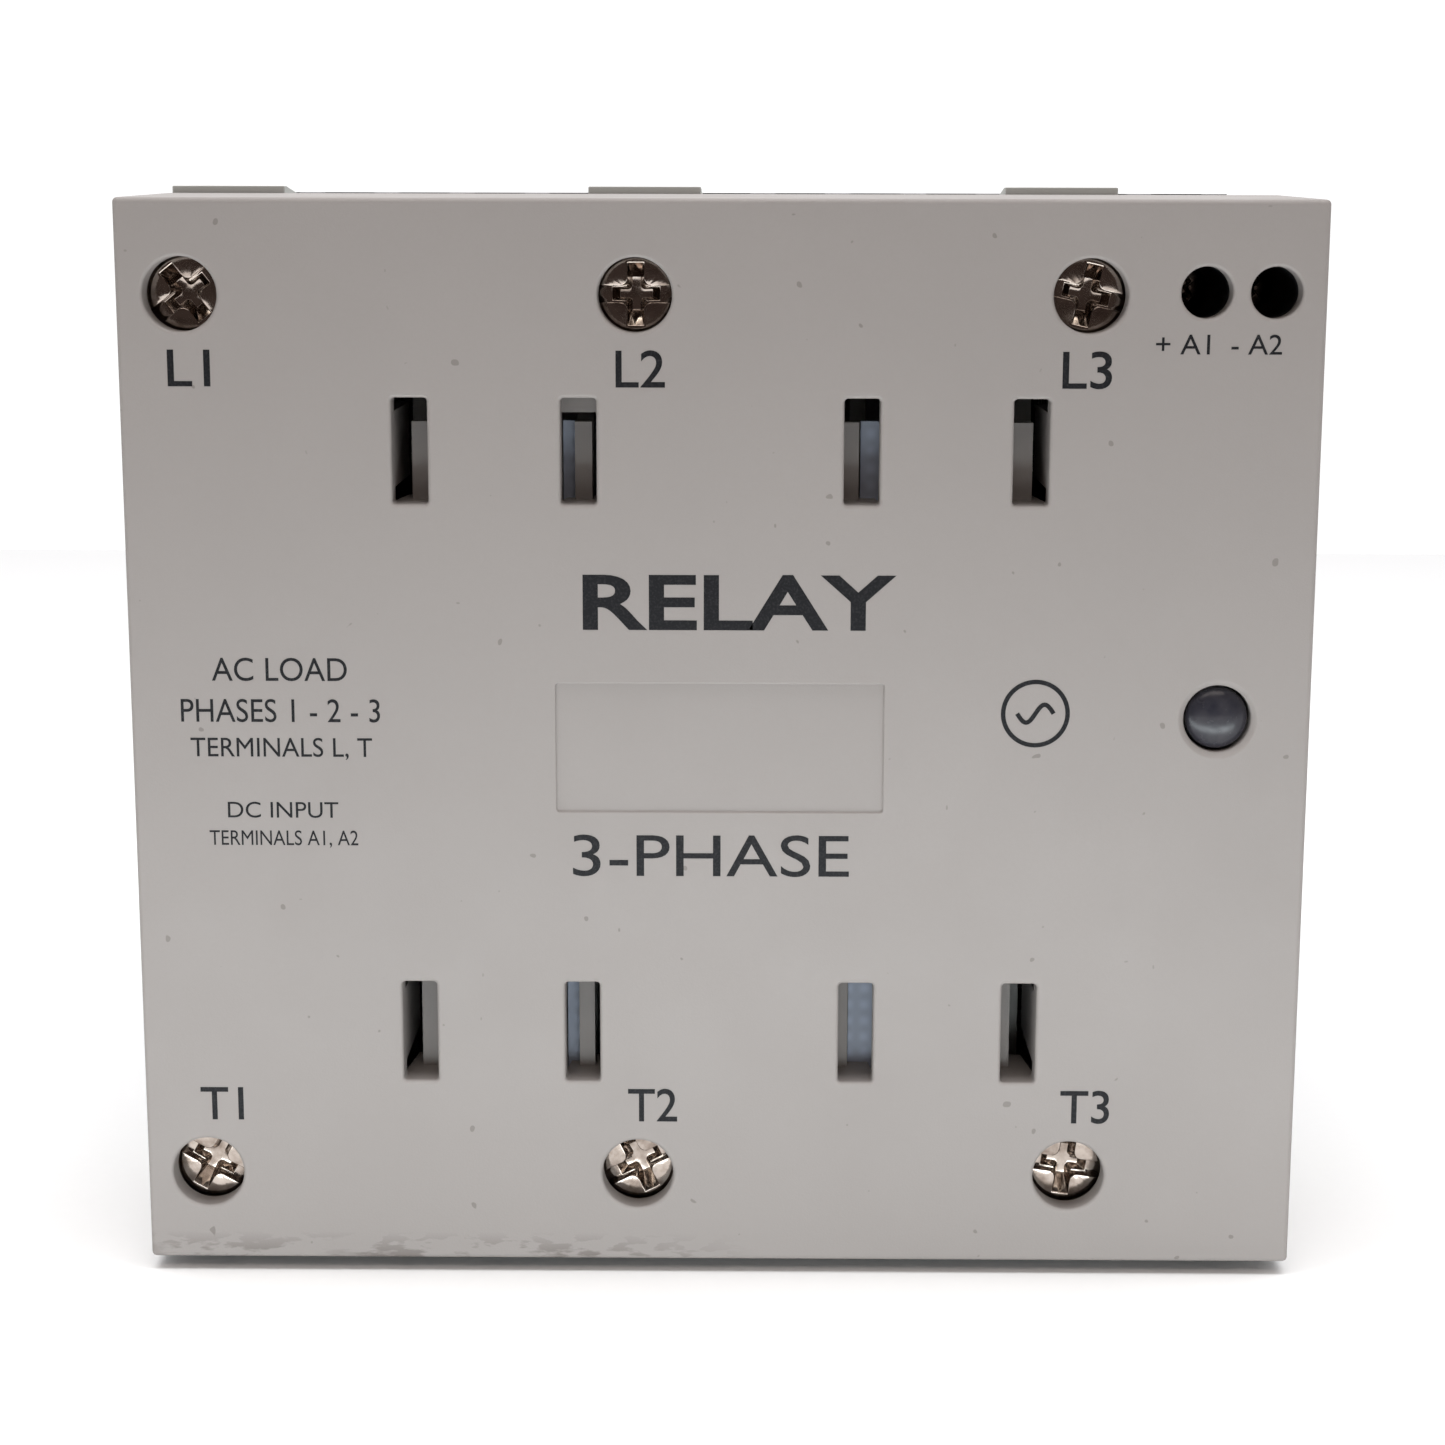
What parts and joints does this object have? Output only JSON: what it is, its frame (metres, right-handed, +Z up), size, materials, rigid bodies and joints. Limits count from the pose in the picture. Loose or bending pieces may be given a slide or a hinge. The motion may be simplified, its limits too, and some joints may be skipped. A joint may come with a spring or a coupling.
{
  "type": "solid state relay",
  "caption": "Three-phase solid state relay: moulded grey case with screw terminals, vent slots and a lens in front, a finned heat sink behind, and a foot with a sprung latch for a rail.",
  "frame": {"origin": "middle of the foot's pad that seats on the rail", "axes": "+X to the right and +Z up as seen from the front, +Y out of the back towards the rail; the front faces -Y"},
  "size_m": [0.1108, 0.1293, 0.1034],
  "materials": {
    "moulded_grey": "light warm grey, fine matt moulded texture",
    "moulded_black": "black, glass filled, matt",
    "nickelled_steel": "nickel plated, satin",
    "tinned_copper": "tinned, satin",
    "extruded_aluminium": "mill finish with extrusion lines",
    "smoked_lens": "dark smoked, glossy",
    "board_green": "green solder mask",
    "thermal_pad": "soft, matt grey",
    "spring_steel": "zinc plated, satin",
    "indicator_die": "pale, glossy"
  },
  "bodies": {
    "case": {"control_board": "board_green", "control_terminal_block": "moulded_black", "control_tongue_a1": "tinned_copper", "control_tongue_a2": "tinned_copper", "foot_screw_1": "nickelled_steel", "foot_screw_2": "nickelled_steel", "foot_screw_3": "nickelled_steel", "foot_screw_4": "nickelled_steel", "front_cover": "moulded_grey", "heat_sink": "extruded_aluminium", "housing_screw_1": "nickelled_steel", "housing_screw_2": "nickelled_steel", "housing_screw_3": "nickelled_steel", "housing_screw_4": "nickelled_steel", "latch_spring": "spring_steel", "light_pipe": "smoked_lens", "load_busbar_l1": "tinned_copper", "load_busbar_l2": "tinned_copper", "load_busbar_l3": "tinned_copper", "load_busbar_t1": "tinned_copper", "load_busbar_t2": "tinned_copper", "load_busbar_t3": "tinned_copper", "lower_terminal_carrier": "moulded_black", "module_screw_1": "nickelled_steel", "module_screw_2": "nickelled_steel", "module_screw_3": "nickelled_steel", "module_screw_4": "nickelled_steel", "module_screw_5": "nickelled_steel", "module_screw_6": "nickelled_steel", "opto_driver_1": "moulded_black", "opto_driver_2": "moulded_black", "opto_driver_3": "moulded_black", "power_module_1": "moulded_black", "power_module_2": "moulded_black", "power_module_3": "moulded_black", "rail_foot": "moulded_black", "rear_housing": "moulded_grey", "status_led": "indicator_die", "thermal_pad_1": "thermal_pad", "thermal_pad_2": "thermal_pad", "thermal_pad_3": "thermal_pad", "upper_terminal_carrier": "moulded_black"},
    "screw_l1": {"load_screw_l1": "nickelled_steel"},
    "cage_l1": {"load_cage_l1": "nickelled_steel"},
    "screw_l2": {"load_screw_l2": "nickelled_steel"},
    "cage_l2": {"load_cage_l2": "nickelled_steel"},
    "screw_l3": {"load_screw_l3": "nickelled_steel"},
    "cage_l3": {"load_cage_l3": "nickelled_steel"},
    "screw_t1": {"load_screw_t1": "nickelled_steel"},
    "cage_t1": {"load_cage_t1": "nickelled_steel"},
    "screw_t2": {"load_screw_t2": "nickelled_steel"},
    "cage_t2": {"load_cage_t2": "nickelled_steel"},
    "screw_t3": {"load_screw_t3": "nickelled_steel"},
    "cage_t3": {"load_cage_t3": "nickelled_steel"},
    "screw_a1": {"control_screw_a1": "nickelled_steel"},
    "cage_a1": {"control_cage_a1": "nickelled_steel"},
    "screw_a2": {"control_screw_a2": "nickelled_steel"},
    "cage_a2": {"control_cage_a2": "nickelled_steel"},
    "latch": {"rail_latch": "spring_steel"}
  },
  "joints": [
    {"name": "turn_l1", "type": "hinge", "parent": "case", "child": "screw_l1", "pos_m": [-0.0492, -0.1229, 0.04185], "axis": [0, 1, 0], "range_deg": [0, 2880]},
    {"name": "clamp_l1", "type": "slide", "parent": "case", "child": "cage_l1", "axis": [0, -1, 0], "range_m": [0, 0.0056]},
    {"name": "turn_l2", "type": "hinge", "parent": "case", "child": "screw_l2", "pos_m": [-0.0078, -0.1229, 0.04185], "axis": [0, 1, 0], "range_deg": [0, 2880]},
    {"name": "clamp_l2", "type": "slide", "parent": "case", "child": "cage_l2", "axis": [0, -1, 0], "range_m": [0, 0.0056]},
    {"name": "turn_l3", "type": "hinge", "parent": "case", "child": "screw_l3", "pos_m": [0.0336, -0.1229, 0.04185], "axis": [0, 1, 0], "range_deg": [0, 2880]},
    {"name": "clamp_l3", "type": "slide", "parent": "case", "child": "cage_l3", "axis": [0, -1, 0], "range_m": [0, 0.0056]},
    {"name": "turn_t1", "type": "hinge", "parent": "case", "child": "screw_t1", "pos_m": [-0.0492, -0.1229, -0.04185], "axis": [0, 1, 0], "range_deg": [0, 2880]},
    {"name": "clamp_t1", "type": "slide", "parent": "case", "child": "cage_t1", "axis": [0, -1, 0], "range_m": [0, 0.0056]},
    {"name": "turn_t2", "type": "hinge", "parent": "case", "child": "screw_t2", "pos_m": [-0.0078, -0.1229, -0.04185], "axis": [0, 1, 0], "range_deg": [0, 2880]},
    {"name": "clamp_t2", "type": "slide", "parent": "case", "child": "cage_t2", "axis": [0, -1, 0], "range_m": [0, 0.0056]},
    {"name": "turn_t3", "type": "hinge", "parent": "case", "child": "screw_t3", "pos_m": [0.0336, -0.1229, -0.04185], "axis": [0, 1, 0], "range_deg": [0, 2880]},
    {"name": "clamp_t3", "type": "slide", "parent": "case", "child": "cage_t3", "axis": [0, -1, 0], "range_m": [0, 0.0056]},
    {"name": "turn_a1", "type": "hinge", "parent": "case", "child": "screw_a1", "pos_m": [0.0441, -0.11, 0.0422], "axis": [0, 1, 0], "range_deg": [0, 2160]},
    {"name": "clamp_a1", "type": "slide", "parent": "case", "child": "cage_a1", "axis": [0, -1, 0], "range_m": [0, 0.003]},
    {"name": "turn_a2", "type": "hinge", "parent": "case", "child": "screw_a2", "pos_m": [0.0504, -0.11, 0.0422], "axis": [0, 1, 0], "range_deg": [0, 2160]},
    {"name": "clamp_a2", "type": "slide", "parent": "case", "child": "cage_a2", "axis": [0, -1, 0], "range_m": [0, 0.003]},
    {"name": "latch_slide", "type": "slide", "parent": "case", "child": "latch", "axis": [0, 0, -1], "range_m": [0, 0.004], "stiffness_N_per_m": 2000, "springref_m": -0.002, "deforming": ["latch_spring"]}
  ],
  "couplings": [
    {"joint": "turn_l1", "follows": "clamp_l1", "rad_per_m": 8976},
    {"joint": "turn_l2", "follows": "clamp_l2", "rad_per_m": 8976},
    {"joint": "turn_l3", "follows": "clamp_l3", "rad_per_m": 8976},
    {"joint": "turn_t1", "follows": "clamp_t1", "rad_per_m": 8976},
    {"joint": "turn_t2", "follows": "clamp_t2", "rad_per_m": 8976},
    {"joint": "turn_t3", "follows": "clamp_t3", "rad_per_m": 8976},
    {"joint": "turn_a1", "follows": "clamp_a1", "rad_per_m": 12566},
    {"joint": "turn_a2", "follows": "clamp_a2", "rad_per_m": 12566}
  ]
}
